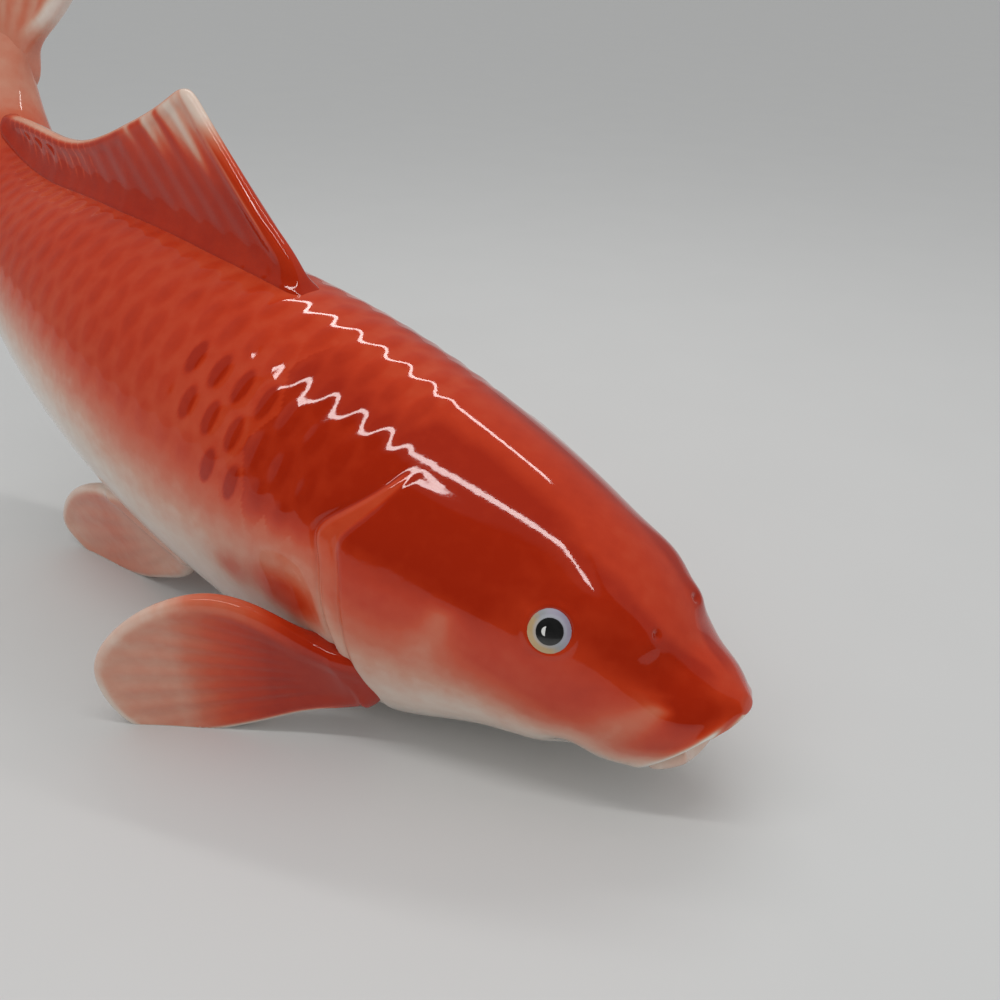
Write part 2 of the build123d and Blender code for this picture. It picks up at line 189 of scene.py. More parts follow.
def section_axes():
    """Centres of the body's sections and their axes to the left, to the back and to the head."""
    back, height, bend, roll = SECTION_SHARES[:, :4].T
    centres = np.stack((-back * TRUNK_REACH, bend * TAIL_SWEEP, height * STUMP_HEIGHT), axis=1)
    before = centres[np.maximum(np.arange(len(centres)) - 1, 0)]
    after = centres[np.minimum(np.arange(len(centres)) + 1, len(centres) - 1)]
    to_head = unit(before - after)
    to_left = unit(np.cross((0, 0, 1), to_head))
    to_back = np.cross(to_head, to_left)
    turn = np.radians(roll * TAIL_TWIST_ANGLE)[:, None]
    left = to_left * np.cos(turn) - to_back * np.sin(turn)
    up = np.cross(to_head, left)
    belly = centres - up * SECTION_SHARES[:, 5:6] * BELLY_DEPTH
    centres[:, 2] -= belly[:, 2].min() + FOOT_DEPTH
    centres[:, 0] += SNOUT_X
    return centres, left, up, to_head


CENTRES, LEFT, UP, TO_HEAD = section_axes()


def section_corners():
    """Corner points of every section's outline, from its left over its back."""
    turn = 2 * np.pi * np.arange(CORNERS) / CORNERS
    above = np.sin(turn) > 0
    back, belly, width = SECTION_SHARES[:, 4:].T
    depth = np.where(above, back[:, None] * BACK_HEIGHT, belly[:, None] * BELLY_DEPTH)
    roundness = np.where(above, BACK_ROUNDNESS, BELLY_ROUNDNESS)
    cosine = np.where(abs(np.cos(turn)) < 1e-9, 0, np.cos(turn))
    reach = np.sign(cosine) * abs(cosine) ** roundness
    across = width[:, None] * BODY_HALF_WIDTH * reach
    return (CENTRES[:, None] + across[:, :, None] * LEFT[:, None]
            + (depth * np.sin(turn))[:, :, None] * UP[:, None])


SKIN_CORNERS = section_corners()
STEPS = np.linalg.norm(np.diff(SKIN_CORNERS, axis=0), axis=2).mean(axis=1)
KNOTS = np.concatenate(([0], np.cumsum(STEPS)))


def skin(along, turns):
    """Grid of skin points at distances along the body and at turns round it."""
    lengthwise = spline_weights(KNOTS, along)
    crosswise = spline_weights(2 * np.pi * np.arange(CORNERS) / CORNERS, turns, period=2 * np.pi)
    return np.einsum("ai,ijk,bj->abk", lengthwise, SKIN_CORNERS, crosswise)


def grid_normals(points):
    """Outward unit normals of a grid of points that runs round its second axis."""
    ahead, behind = np.roll(points, -1, axis=1), np.roll(points, 1, axis=1)
    normals = np.cross(np.gradient(points, axis=0), ahead - behind)
    outward = points - points.mean(axis=1, keepdims=True)
    flip = np.sign((normals * outward).sum(axis=(1, 2)))
    return unit(normals) * np.where(flip == 0, 1, flip)[:, None, None]


# Scales

SCALE_PITCH = 6.1           # along the body at its deepest
SCALE_ROW_SHARE = 0.080     # of the way from the back to the belly
SCALE_PHASE_PLACE = 106.0   # a scale's centre in the odd rows
SCALE_SLIMNESS = 0.6
SCALE_HALF_WIDTH = 1.5
SCALE_HALF_HEIGHT = 3.4
SCALE_RELIEF = 0.30
SCALE_ROW_HEIGHT = 7.7      # between two rows of centres
SCALE_LEAN = 0.05           # of a pitch for each row
SCALE_PITCH_PLACE = 110.0   # where the pitch is measured
# Angle off the back at shares of the way from the back to the belly
DOWN_SHARES = (0, .078, .155, .248, .323, .401, .479, .553, .624, .691, .755, 1)
DOWN_ANGLES = (0, 16, 31, 47.5, 60, 72.5, 85, 97.5, 110, 122.5, 135, 180)


def scale_lattice(count, shares):
    """Distance to the nearest scale's centre, swell of the scales, and that centre's column and row.

    count: scales passed up to each station, shares: way round, 0 at the back to 1 at the belly."""
    rows = shares / SCALE_ROW_SHARE
    columns = np.broadcast_to(count[:, None], shares.shape)
    best = np.full(shares.shape, 1e9)
    soft = np.zeros(shares.shape)
    centre_column = np.zeros(shares.shape)
    centre_row = np.zeros(shares.shape)
    for step in (-1, 0, 1):
        row = np.round(rows) + step
        offset = np.where(np.mod(row, 2) == 1, 0.0, 0.5)
        down = (rows - row) * SCALE_ROW_HEIGHT / SCALE_HALF_HEIGHT
        leaning = columns - SCALE_LEAN * (rows - row)
        for aside in (-1, 0, 1):
            column = np.round(leaning - offset) + offset + aside
            across = (leaning - column) * SCALE_PITCH / SCALE_HALF_WIDTH
            distance = across ** 2 + down ** 2
            soft += np.exp(-0.5 * distance)
            nearer = distance < best
            best = np.where(nearer, distance, best)
            centre_column = np.where(nearer, column, centre_column)
            centre_row = np.where(nearer, row, centre_row)
    return np.sqrt(best), soft, centre_column, centre_row


def shares_down(points):
    """Each grid point's share of the way round from the back to the belly, and one side's length."""
    count = points.shape[1]
    back, half = count // 4, count // 2
    steps = np.linalg.norm(np.roll(points, -1, axis=1) - points, axis=2)
    shares = np.zeros(points.shape[:2])
    run_right = np.cumsum(np.take(steps, np.arange(back, back + half), axis=1), axis=1)
    shares[:, np.mod(np.arange(back + 1, back + half + 1), count)] = run_right / run_right[:, -1:]
    down_left = np.mod(np.arange(back - 1, back - half - 1, -1), count)
    run_left = np.cumsum(np.take(steps, down_left, axis=1), axis=1)
    shares[:, down_left[:-1]] = (run_left / run_left[:, -1:])[:, :-1]
    return shares, run_right[:, -1]


def scale_cells(along, points):
    """Nearest scale: distance to its centre, swell, row, place along and angle off the back."""
    shares, perimeter = shares_down(points)
    widest = perimeter[np.argmin(abs(along - SCALE_PITCH_PLACE))]
    pitch = SCALE_PITCH * (perimeter / widest) ** SCALE_SLIMNESS
    count = np.concatenate(([0], np.cumsum(np.diff(along) * (1 / pitch[1:] + 1 / pitch[:-1]) / 2)))
    count -= np.interp(SCALE_PHASE_PLACE, along, count)
    nearest, soft, column, row = scale_lattice(count, shares)
    centre_off = np.interp(row * SCALE_ROW_SHARE, DOWN_SHARES, DOWN_ANGLES)
    return nearest, soft, row, np.interp(column, count, along), centre_off


# Relief and paint of the body

# Rear edge of the gill cover and the inner line: turn in degrees, place along the body
GILL_EDGE = ((120, 69.0), (131, 70.5), (142, 73.5), (151, 77.2), (159, 79.6), (166, 77.9), (176, 76.2),
             (184, 74.8), (192, 73.0), (200, 71.2), (210, 69.4), (222, 68.2), (236, 67.6), (250, 67.4))
GILL_INNER = ((120, 67.5), (131, 68.6), (142, 70.6), (151, 73.0), (158, 74.6), (165, 73.2), (175, 71.6),
              (184, 70.3), (192, 69.2), (200, 68.0), (210, 66.0), (222, 64.8), (236, 64.0), (250, 63.6))
GILL_HEIGHT = 0.85
PLATE_HEIGHT = 0.55


def gill_relief(along, degrees):
    window = mix(0.35, 1.0, ease(degrees, 138, 158)) * ease(degrees, 124, 134)
    window = window * (1 - ease(degrees, 232, 250))
    ahead = through(GILL_EDGE, degrees) - along
    inside = through(GILL_INNER, degrees) - along
    step = ease(ahead, -0.3, 1.3) * (1 - ease(ahead, 0.8, 24))
    plate = ease(inside, -0.5, 1.1) * (1 - ease(inside, 1.5, 22))
    groove = np.exp(-((ahead + 0.55) / 0.55) ** 2)
    valley = np.exp(-((inside + 0.55) / 0.6) ** 2) * ease(degrees, 150, 162)
    return window * (GILL_HEIGHT * step + PLATE_HEIGHT * plate - 0.3 * groove - 0.2 * valley), ahead, inside


MOUTH_SLOPE_ANGLE = 43.0
MOUTH_FRONT_HEIGHT = 21.1
TIP_LIP = 0.35
JAW_RECESS = 5.0
JAW_SIDE_RECESS = 1.3
JAW_DROP = 1.5
JAW_LENGTH = 17.0
MOUTH_GROOVE = 1.6
UPPER_LIP = 0.42
LOWER_LIP = 0.40


def mouth_side(points):
    """Signed distance over the plane of the mouth."""
    slope = math.radians(MOUTH_SLOPE_ANGLE)
    normal = np.array((-math.sin(slope), 0, math.cos(slope)))
    return (points - np.array((SNOUT_X, 0, MOUTH_FRONT_HEIGHT))) @ normal


def with_mouth(points, normals):
    side = mouth_side(points)
    back = SNOUT_X - points[..., 0]
    reach = 1 - ease(back, 12.5, 17.5)
    under = 1 - ease(side + TIP_LIP * (1 - ease(back, 0.2, 1.6)), -0.35, 0.15)
    set_back = mix(JAW_RECESS, JAW_SIDE_RECESS, ease(back, 1.5, 4.5)) * (1 - ease(back, 6.0, JAW_LENGTH))
    drop = JAW_DROP * reach * ease(back, 2.0, 5.0)
    moved = points + under[..., None] * np.stack((-set_back, 0 * back, -drop), axis=-1)
    gap = -MOUTH_GROOVE * np.exp(-(side / 0.42) ** 2) * ease(back, 1.5, 4.0)
    upper = UPPER_LIP * np.exp(-((side - 1.0) / 0.9) ** 2) * ease(back, -0.5, 2.5)
    lower = LOWER_LIP * np.exp(-((side + 1.5) / 0.8) ** 2)
    return moved + (reach * (gap + upper + lower))[..., None] * normals, side, reach


def eye_place(side):
    low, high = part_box("eye_pupil_" + side)
    return np.array((low + high) / 2) / MM


def swell(along, off, place, angle, length, spread):
    """1 at a place along the body and an angle off the back, falling off smoothly."""
    return np.exp(-((along - place) / length) ** 2 - ((off - angle) / spread) ** 2)


# Forms of the head: height, place along the body, angle off the back, length, spread of the angle
HEAD_FORMS = (
    (1.15, 31.5, 38, 6.5, 14),      # brow
    (0.85, 23.0, 33, 3.2, 11),      # mound of the nostril
    (-0.60, 22.4, 26, 0.8, 3.0),    # nostril
    (-0.35, 14.0, 20, 3.8, 40),     # saddle behind the lip
    (0.10, 6.5, 40, 2.8, 35),       # roll of the lip
    (-1.40, 28.5, 137, 3.6, 18),    # notch of the throat
    (0.40, 19.0, 137, 3.5, 18),     # swell ahead of the notch
)


def head_relief(along, degrees):
    off = abs(degrees - 90)
    relief = 0
    for height, *form in HEAD_FORMS:
        relief = relief + height * swell(along, off, *form)
    return relief


def distance_to_pair(points, centre):
    """Distance to a centre on the right side, or to its mirror image on the left."""
    flat = np.stack((points[..., 0], abs(points[..., 1]), points[..., 2]), axis=-1)
    return np.linalg.norm(flat - np.array((centre[0], abs(centre[1]), centre[2])), axis=-1)


# Angle off the back at which the red has half faded, along the body
RED_EDGE = ((0, 112), (8, 113), (15, 113), (20, 111), (26, 104), (33, 100), (42, 96), (50, 93),
            (58, 92), (66, 92), (72, 88), (78, 80), (90, 80), (100, 83), (112, 84), (125, 84),
            (145, 80), (165, 77), (190, 75), (215, 77), (240, 80), (266, 85))
RED_FADE = ((-24, 0.80), (-10, 0.76), (0, 0.52), (11, 0.30), (24, 0.15), (42, 0.05))


def soft_line(along, degrees, start, end, start_width, end_width):
    """1 on a line between two (place, degrees) points, fading to 0 at its width; 1 degree counts 0.5 mm."""
    x, y = along - start[0], (degrees - start[1]) * 0.5
    run = np.array((end[0] - start[0], (end[1] - start[1]) * 0.5))
    share = np.clip((x * run[0] + y * run[1]) / (run @ run), 0, 1)
    gap = np.hypot(x - share * run[0], y - share * run[1])
    return np.exp(-(gap / mix(start_width, end_width, share)) ** 2)


def paint_tone(along, degrees, ahead, centre_along, centre_off):
    """Tone of the glaze, 0 white to 1 deep red, from place along the body and angle off the back."""
    off = abs(degrees - 90)
    edge = through(RED_EDGE, along)
    steps, tones = zip(*RED_FADE)
    red = np.interp(off - edge, steps, tones)
    # the tail stump is paler
    red = mix(red, np.minimum(red, 0.40), ease(along, 212, 244))
    # pale streak from the snout down to the throat, and the pale wedge behind the cheek
    streak = soft_line(along, degrees, (15, 157), (25, 200), 3.6, 6.5)
    red = mix(red, np.minimum(red, 0.30), 0.65 * streak)
    wedge = soft_line(along, degrees, (53.5, 166), (56, 205), 2.5, 9.0)
    red = mix(red, np.minimum(red, 0.40), 0.75 * wedge)
    deep_head = ease(off, 10, 22) * (1 - ease(off, 60, 78)) * ease(along, 36, 50)
    inner = mix(5, 16, ease(along, 9, 24))
    deep_brow = 0.8 * ease(off, inner, inner + 10) * (1 - ease(off, 48, 62)) * ease(along, 3, 10)
    deep_snout = 1.3 * swell(along, off, 9.0, 64, 6.5, 20)
    deep_here = np.maximum(np.maximum(deep_head, deep_brow), deep_snout)
    deep_cell = ease(off, 8, 34) * (1 - ease(centre_off, 72, 80)) * (1 - ease(centre_along, 98.5, 100.5))
    scaled = ease(-ahead, 1.0, 5.0)
    deep = mix(deep_here, deep_cell, scaled)
    tone = red + mix(0.20, 0.17, scaled) * deep * ease(red, 0.45, 0.7)
    return tone + 0.035 * (1 - ease(along, 66, 80)) * ease(tone, 0.3, 0.5)


# Meshes

def make_object(name, points, faces, attributes=None):
    """Object from points in millimetres, with a number at each point for every attribute."""
    mesh = bpy.data.meshes.new(name)
    mesh.from_pydata((points * MM).tolist(), [], faces)
    mesh.validate()
    mesh.update()
    for key, values in (attributes or {}).items():
        layer = mesh.attributes.new(key, "FLOAT", "POINT")
        layer.data.foreach_set("value", np.asarray(values, np.float32).ravel())
    mesh.polygons.foreach_set("use_smooth", [True] * len(mesh.polygons))
    thing = bpy.data.objects.new(name, mesh)
    bpy.context.scene.collection.objects.link(thing)
    return thing


def grid_faces(rows, columns):
    """Quads of a grid that closes round its second axis."""
    i, j = np.meshgrid(np.arange(rows - 1), np.arange(columns), indexing="ij")
    k = (j + 1) % columns
    near, far = i * columns, (i + 1) * columns
    quads = np.stack((near + j, far + j, far + k, near + k), axis=-1)
    return quads.reshape(-1, 4).tolist()


def add_piece(name, node, points, faces, attributes=None):
    """Piece of the figurine in place of a CAD node."""
    piece = make_object(name, points, faces, attributes)
    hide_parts(node)
    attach(piece, "root")
    return piece


def body_stations():
    head = np.arange(0.0, 84.0, 0.34)
    trunk = np.arange(84.0, 240.0, 0.46)
    rear = np.linspace(240.0, KNOTS[-1], 50)
    return np.concatenate((head, trunk, rear))


ROUND_COUNT = 432
CAP_RINGS = 5
CAP_BULGE = 0.35
CAP_TONE = 0.78
REAR_TONE = 0.5
EYE_SEAT_DEPTH = 0.5
EYE_RING_HEIGHT = 0.18
BARE_HEIGHTS = (0.02, 0.10)     # over the floor, from bare clay to full glaze


def bare_share(heights):
    return 1 - ease(heights, *BARE_HEIGHTS)


def body_tone(points, places, degrees, gill, cells, scale_fade, mouth, reach):
    """Tone at each point of the body: airbrushed ground, scales, gill band, pectoral patch and lips."""
    ahead, inside = gill
    nearest, soft, row, centre_along, centre_off = cells
    tone = paint_tone(places, degrees, ahead, centre_along, centre_off)
    cell = 1 - ease(nearest, 0.80, 1.15)
    net = ease(nearest, 1.05, 1.5)
    painted = (row >= 3) & (row <= 5) & (centre_along > 98) & (centre_along < 119.5)
    painted &= ~((row == 5) & (centre_along > 108)) & ~((row == 4) & (centre_along > 117))
    tone = tone + scale_fade * ease(tone, 0.2, 0.6) * (0.035 * cell - 0.03 * net)
    tone = np.where(painted, np.maximum(tone, mix(tone, 1.0, cell)), tone)
    # lighter band of the gill cover between its inner line and its rear edge
    band = ease(ahead, -0.2, 0.4) * (1 - ease(inside, -0.6, 0.5))
    band = band * ease(degrees, 124, 134) * (1 - ease(degrees, 226, 240))
    tone = mix(tone, np.minimum(tone, 0.56), 0.65 * band)
    # dark patch over the root of the pectoral fin
    off = degrees - 90
    patch = swell(places, off, 83.0, 96, 8.0, 7.0) + 0.45 * swell(places, off, 97.0, 101, 4.0, 6.0)
    tone = mix(tone, np.maximum(tone, 0.86), np.clip(1.1 * patch, 0, 0.9) * ease(-ahead, 0.0, 2.5))
    front = SNOUT_X - points[..., 0]
    lip = reach * np.exp(-((mouth - 0.7) / 0.6) ** 2) * ease(front, 0.3, 2.0)
    jaw = reach * (1 - ease(mouth, -0.4, 0.2)) * ease(front, 0.5, 3.0)
    tone = mix(tone, 0.03, np.clip(lip * 1.2, 0, 1))
    tone = mix(tone, 0.24, 0.8 * jaw)
    # mottling of the airbrush
    return tone + 0.035 * waves(points, 3, 26.0) + 0.02 * waves(points, 5, 6.0)


def close_ends(points):
    """Vertices and faces of the body's grid, closed by a round cap at the snout and a fan at the rear."""
    rows, columns = points.shape[:2]
    vertices = [points.reshape(-1, 3)]
    faces = grid_faces(rows, columns)
    around = np.arange(columns)
    following = np.roll(around, -1)
    centre = points[0].mean(axis=0)
    previous = around
    for ring in range(1, CAP_RINGS):
        share = 1 - ring / CAP_RINGS
        bulge = CAP_BULGE * math.sqrt(1 - share ** 2)
        vertices.append(centre + (points[0] - centre) * share + np.array((bulge, 0, 0)))
        current = (rows + ring - 1) * columns + around
        faces += np.stack((current, previous, previous[following], current[following]), axis=1).tolist()
        previous = current
    tip = (rows + CAP_RINGS - 1) * columns
    vertices.append((centre + np.array((CAP_BULGE, 0, 0)))[None])
    faces += np.stack((np.full(columns, tip), previous, previous[following]), axis=1).tolist()
    vertices.append(points[-1].mean(axis=0)[None])
    last = (rows - 1) * columns + around
    faces += np.stack((np.full(columns, tip + 1), last[following], last), axis=1).tolist()
    return np.concatenate(vertices), faces


def build_body():
    along = body_stations()
    turns = 2 * np.pi * np.arange(ROUND_COUNT) / ROUND_COUNT
    # the left side is folded onto the right one: 90 degrees at the back to 270 at the belly
    off = abs(np.mod(np.degrees(turns) - 90 + 180, 360) - 180)
    degrees = np.broadcast_to(90 + off, (len(along), ROUND_COUNT))
    places = np.broadcast_to(along[:, None], degrees.shape)
    points = skin(along, turns)
    normals = grid_normals(points)
    cells = scale_cells(along, points)

    relief, ahead, inside = gill_relief(places, degrees)
    scale_fade = ease(-ahead, 1.5, 7) * (1 - 0.7 * ease(degrees, 150, 178))
    scale_fade = scale_fade * (1 - ease(degrees - 90, 100, 118)) * (1 - ease(places, 205, 238))
    relief = relief + scale_fade * SCALE_RELIEF * (1 - 0.4 * ease(places, 120, 150)) * (cells[1] - 0.6)
    relief = relief + head_relief(places, degrees)
    away = distance_to_pair(points, eye_place("right"))
    relief = relief - EYE_SEAT_DEPTH * (1 - ease(away, 3.1, 3.7))
    relief = relief + EYE_RING_HEIGHT * np.exp(-((away - 4.15) / 0.55) ** 2)
    points = points + relief[..., None] * normals
    points, mouth, reach = with_mouth(points, normals)
    tone = body_tone(points, places, degrees, (ahead, inside), cells, scale_fade, mouth, reach)

    points[..., 2] = np.maximum(points[..., 2], 0)
    bare = bare_share(points[..., 2])
    # firing vent in the middle of the foot
    from_vent = np.hypot(points[..., 0] - VENT_X, points[..., 1])
    vent = (1 - ease(from_vent, 0.40 * VENT_BORE, 0.56 * VENT_BORE)) * (points[..., 2] < 2)
    points[..., 2] += VENT_DEPTH * vent

    vertices, faces = close_ends(points)
    added = len(vertices) - tone.size
    tones = np.concatenate((tone.ravel(), np.full(added - 1, CAP_TONE), (REAR_TONE,)))
    bare = np.concatenate((bare.ravel(), np.zeros(added)))
    return add_piece("koi_body", "body_shell", vertices, faces,
                     {"tone": np.clip(tones, 0, 1), "bare": bare})


# Fins

def closed_outline(shares, length, height, count=420):
    """Evenly spaced points on the smooth closed curve through a fin's outline shares."""
    corners = np.array(shares) * np.array((length, height))
    knots = run_lengths(np.vstack((corners, corners[:1])))
    fine = np.linspace(0, knots[-1], 4 * count, endpoint=False)
    return even_loop(spline_weights(knots[:-1], fine, period=knots[-1]) @ corners, count)


def distance_to_outline(points, outline):
    """Distance from each point to the closed outline, and whether it lies inside."""
    starts, ends = outline, np.roll(outline, -1, axis=0)
    distance = np.full(len(points), 1e9)
    inside = np.zeros(len(points), bool)
    for start, end in zip(starts, ends):
        run = end - start
        share = np.clip(((points - start) @ run) / max(run @ run, 1e-12), 0, 1)
        gap = np.linalg.norm(points - start - share[:, None] * run, axis=1)
        distance = np.minimum(distance, gap)
        crosses = (start[1] > points[:, 1]) != (end[1] > points[:, 1])
        with np.errstate(divide="ignore", invalid="ignore"):
            at = start[0] + (points[:, 1] - start[1]) / (end[1] - start[1]) * run[0]
        inside ^= crosses & (points[:, 0] < at)
    return distance, inside


RING_DEPTHS = (0.06, 0.16, 0.30, 0.48, 0.70, 0.96, 1.26, 1.6, 2.0)
GRID_DEPTH = 2.25
GRID_SPACING = 0.55


def flat_mesh(outline):
    """Flat triangulation inside an outline, fine near its edge: points, faces, distances to the edge."""
    tangent = unit(np.roll(outline, -1, axis=0) - np.roll(outline, 1, axis=0))
    area = (outline[:, 0] * np.roll(outline[:, 1], -1) - np.roll(outline[:, 0], -1) * outline[:, 1]).sum()
    inward = np.stack((-tangent[:, 1], tangent[:, 0]), axis=1) * np.sign(area)
    low, high = outline.min(axis=0), outline.max(axis=0)
    xs, ys = np.arange(low[0], high[0], GRID_SPACING), np.arange(low[1], high[1], GRID_SPACING * 0.87)
    grid = np.array([(x + (GRID_SPACING / 2 if row % 2 else 0), y) for row, y in enumerate(ys) for x in xs])
    kept = []
    for depth in RING_DEPTHS:
        ring = outline + inward * depth
        distance, inside = distance_to_outline(ring, outline)
        kept.append(ring[inside & (distance > depth * 0.93)])
    distance, inside = distance_to_outline(grid, outline)
    kept.append(grid[inside & (distance > GRID_DEPTH)])
    points = np.vstack([outline] + kept)
    count = len(outline)
    edges = [(i, (i + 1) % count) for i in range(count)]
    verts, _, faces, _, _, _ = geometry.delaunay_2d_cdt(
        [Vector(p) for p in points], edges, [list(range(count))], 1, 1e-7)
    verts = np.array([tuple(v) for v in verts])
    distance, inside = distance_to_outline(verts, outline)
    distance[distance < 1e-5] = 0
    return verts, [tuple(f) for f in faces], distance


def two_sided(faces, half, edge):
    """Closed solid half as thick to each side of a flat mesh: flat index and height of each point, faces."""
    count = len(edge)
    rim = edge <= 0
    lower = np.where(rim, np.arange(count), -1)
    inner = np.where(~rim)[0]
    lower[inner] = count + np.arange(len(inner))
    all_faces = [tuple(f) for f in faces]
    all_faces += [tuple(int(lower[i]) for i in reversed(f)) for f in faces]
    heights = np.concatenate((half, -half[inner]))
    heights[:count][rim] = 0
    index = np.concatenate((np.arange(count), inner))
    return index, heights, all_faces


def rim_profile(distance, radius, power=2.4):
    share = np.clip(distance / radius, 0, 1)
    return (1 - (1 - share) ** power) ** (1 / power)


class Fin:
    """Flat frame of a fin: its origin, and its axes along, up and through it, in millimetres."""

    def __init__(self, origin, along, up):
        self.origin = np.array(origin, float)
        self.along = unit(np.array(along, float))
        self.through = unit(np.cross(self.along, np.array(up, float)))
        self.up = np.cross(self.through, self.along)

    def place(self, x, y, z):
        return self.origin + x[:, None] * self.along + y[:, None] * self.up + z[:, None] * self.through


def cast(tree, start, direction):
    hit, normal, index, distance = tree.ray_cast(Vector(start * MM), Vector(direction))
    return np.array(hit) / MM, np.array(normal)


def spine_point(place):
    index = int(np.clip(np.searchsorted(SECTION_SHARES[:, 0], place, side="right") - 1, 0, len(CENTRES) - 2))
    start, end = SECTION_SHARES[index, 0], SECTION_SHARES[index + 1, 0]
    return mix(CENTRES[index], CENTRES[index + 1], (place - start) / (end - start))


def skin_seat(tree, place, turn_share):
    turn = 2 * math.pi * turn_share
    outward = np.array((0, math.cos(turn), math.sin(turn)))
    return cast(tree, spine_point(place) + outward * 100, -outward)[0]


def paired_fin(tree, place, turn_share, splay_angle, lean_angle):
    seat = skin_seat(tree, place, turn_share)
    splay, lean = math.radians(splay_angle), math.radians(lean_angle)
    back = np.array((-math.cos(splay), -math.sin(splay), 0))
    outward = np.cross((0, 0, 1), back)
    up = np.array((0, 0, 1)) * math.cos(lean) + outward * math.sin(lean)
    return Fin(seat, back, up)


def gap_to_body(tree, points):
    gaps = np.zeros(len(points))
    for i, point in enumerate(points):
        spot, normal, index, distance = tree.find_nearest(Vector(point * MM))
        side = (Vector(point * MM) - spot).dot(normal)
        gaps[i] = distance / MM * (1 if side >= 0 else -1)
    return gaps


def flare(gaps, height=1.3, reach=1.3):
    """Glaze that gathers in the corner between a fin and the body."""
    return height * np.exp(-np.clip(gaps, 0, None) / reach)


PECTORAL_OUTLINE = ((-0.14, -0.14), (0.14, -0.310), (0.33, -0.410), (0.56, -0.520), (0.86, -0.540),
                    (0.975, -0.300), (0.985, -0.050), (0.85, 0.250), (0.63, 0.450), (0.48, 0.490),
                    (0.30, 0.400), (0.09, 0.210), (-0.14, 0.06))
PECTORAL_LENGTH = 46.5
PECTORAL_HEIGHT = 33.0
PECTORAL_SEAT = (0.304, 0.587, 32.0, 10.0)      # place, turn, splay and lean
PECTORAL_FAN = ((-12.0, 0.0), -28, 28)          # hub and end angles of the rays
PECTORAL_RAYS = 11
PELVIC_OUTLINE = ((-0.20, 0.10), (-0.07, -0.330), (0.14, -0.510), (0.34, -0.635), (0.59, -0.715),
                  (0.78, -0.740), (0.92, -0.615), (1.00, -0.440), (0.95, -0.220), (0.80, 0.040),
                  (0.60, 0.225), (0.36, 0.330), (0.10, 0.400))
PELVIC_LENGTH = 42.0
PELVIC_HEIGHT = 26.0
PELVIC_SEAT = (0.592, 0.681, 0.0, 12.0)
PELVIC_FAN = ((-14.0, 8.0), -50, 20)
PELVIC_RAYS = 10
TAIL_OUTLINE = ((-0.14, 0.10), (-0.07, 0.149), (0.03, 0.170), (0.15, 0.248), (0.275, 0.340), (0.55, 0.455),
                (0.80, 0.500), (0.93, 0.500), (0.92, 0.430), (0.80, 0.280), (0.67, 0.140), (0.58, 0),
                (0.69, -0.150), (0.84, -0.290), (0.98, -0.420), (1.00, -0.490), (0.86, -0.490),
                (0.60, -0.440), (0.34, -0.345), (0.16, -0.240), (0.02, -0.170), (-0.14, -0.10))
TAIL_LENGTH = 48.0
TAIL_SPAN = 78.0
TAIL_SETBACK = 15.0
TAIL_BOW = 5.0
TAIL_FAN = ((-22.0, 0.0), -45, 45)
TAIL_RAYS = 17
ANAL_OUTLINE = ((-0.45, -0.30), (-0.35, 0.10), (-0.05, 0.600), (0.25, 0.980), (0.42, 0.920),
                (0.44, 0.500), (0.52, 0.150), (0.55, -0.30))
ANAL_LENGTH = 24.0
ANAL_HEIGHT = 14.0
ANAL_PLACE_SHARE = 0.880
ANAL_FAN = ((-4.0, -12.0), 40, 110)
ANAL_RAYS = 7
DORSAL_EDGE = ((0.430, -0.05), (0.443, 0.04), (0.453, 0.14), (0.482, 0.34), (0.521, 0.63), (0.560, 0.93),
               (0.573, 1.0), (0.598, 0.91), (0.660, 0.635), (0.712, 0.455), (0.765, 0.345), (0.824, 0.325),
               (0.886, 0.22), (0.925, 0.04))
DORSAL_HEIGHT = 27.0
DORSAL_SINK = 5.0
DORSAL_THICKNESS = (4.4, 2.0)
DORSAL_SPINE_RADII = (1.9, 1.0)


def fan(x, y, hub, low, high):
    """Angle round a hub as a share of the fan between two angles, and the distance from the hub."""
    angle = np.degrees(np.arctan2(y - hub[1], x - hub[0]))
    return (angle - low) / (high - low), np.hypot(x - hub[0], y - hub[1])


def finish_fin(name, node, points, faces, tone):
    points = points.copy()
    points[:, 2] = np.maximum(points[:, 2], 0)
    return add_piece(name, node, points, faces,
                     {"tone": np.clip(tone, 0, 1), "bare": bare_share(points[:, 2])})


def finish_pair(kind, points, faces, tone):
    """The right fin and its mirror image on the left."""
    pair = []
    for side, sign in (("right", 1), ("left", -1)):
        turned = [tuple(face[::sign]) for face in faces]
        pair.append(finish_fin("koi_%s_%s" % (kind, side), "%s_fin_%s" % (kind, side),
                               points * np.array((1, sign, 1)), turned, tone))
    return pair


def blade_points(fin, outline, length, thickness, bow, ribs, tree):
    """Solid of a blade: world points, faces, and its flat x, y, edge distance and gap to the body."""
    flat, faces, edge = flat_mesh(outline)
    x, y = flat[:, 0], flat[:, 1]
    share = np.clip(x / length, 0, 1)
    half = mix(thickness[0], thickness[1], share) / 2
    centre = fin.place(x, y, bow * (x / length) * abs(x / length))
    gaps = gap_to_body(tree, centre)
    relief = ribs(x, y, edge, gaps)
    front = half * rim_profile(edge, 1.5 * half) + relief + flare(gaps)
    index, heights, all_faces = two_sided(faces, front, edge)
    fx, fy = x[index], y[index]
    bend = bow * (fx / length) * abs(fx / length)
    return fin.place(fx, fy, bend + heights), all_faces, fx, fy, edge[index], gaps[index]


